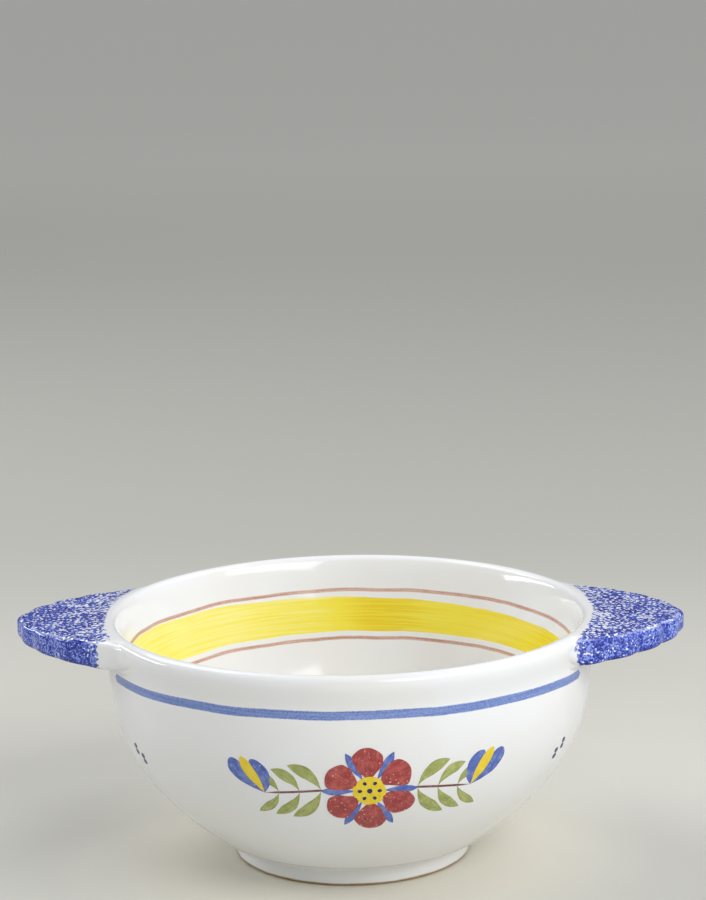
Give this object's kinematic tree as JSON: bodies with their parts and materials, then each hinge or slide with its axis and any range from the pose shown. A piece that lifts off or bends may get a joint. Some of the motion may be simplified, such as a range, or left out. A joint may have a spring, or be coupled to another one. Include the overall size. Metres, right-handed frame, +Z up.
{
  "type": "lug bowl",
  "caption": "Round footed earthenware bowl with flat scalloped lugs at its rim, white glaze, a painted band inside and sponged blue lugs; holds soup or a hot drink.",
  "frame": {"origin": "on the table, under the bowl's axis, in the plane of the foot ring's lower face", "axes": "+Z up along the bowl's axis; the lugs lie along X, the left one at -X; the front that the picture shows is at -Y"},
  "size_m": [0.1892, 0.14, 0.07],
  "materials": {
    "white_glaze": "glossy tin-white glaze on earthenware",
    "foot_clay": "white glaze wiped from the lower edge, bare buff clay there",
    "slip": "fired clay slip under the glaze",
    "blue_glaze": "cobalt sponged on white glaze, glossy",
    "yellow_enamel": "brushed yellow under clear glaze",
    "maroon_enamel": "brushed maroon line under clear glaze",
    "green_enamel": "brushed olive green under clear glaze"
  },
  "bodies": {
    "root": {"bowl_body": "white_glaze", "foot_ring": "foot_clay", "foot_slip_bed": "slip", "left_lug": "blue_glaze", "left_lug_slip_bed": "slip", "right_lug": "blue_glaze", "right_lug_slip_bed": "slip"}
  },
  "joints": []
}
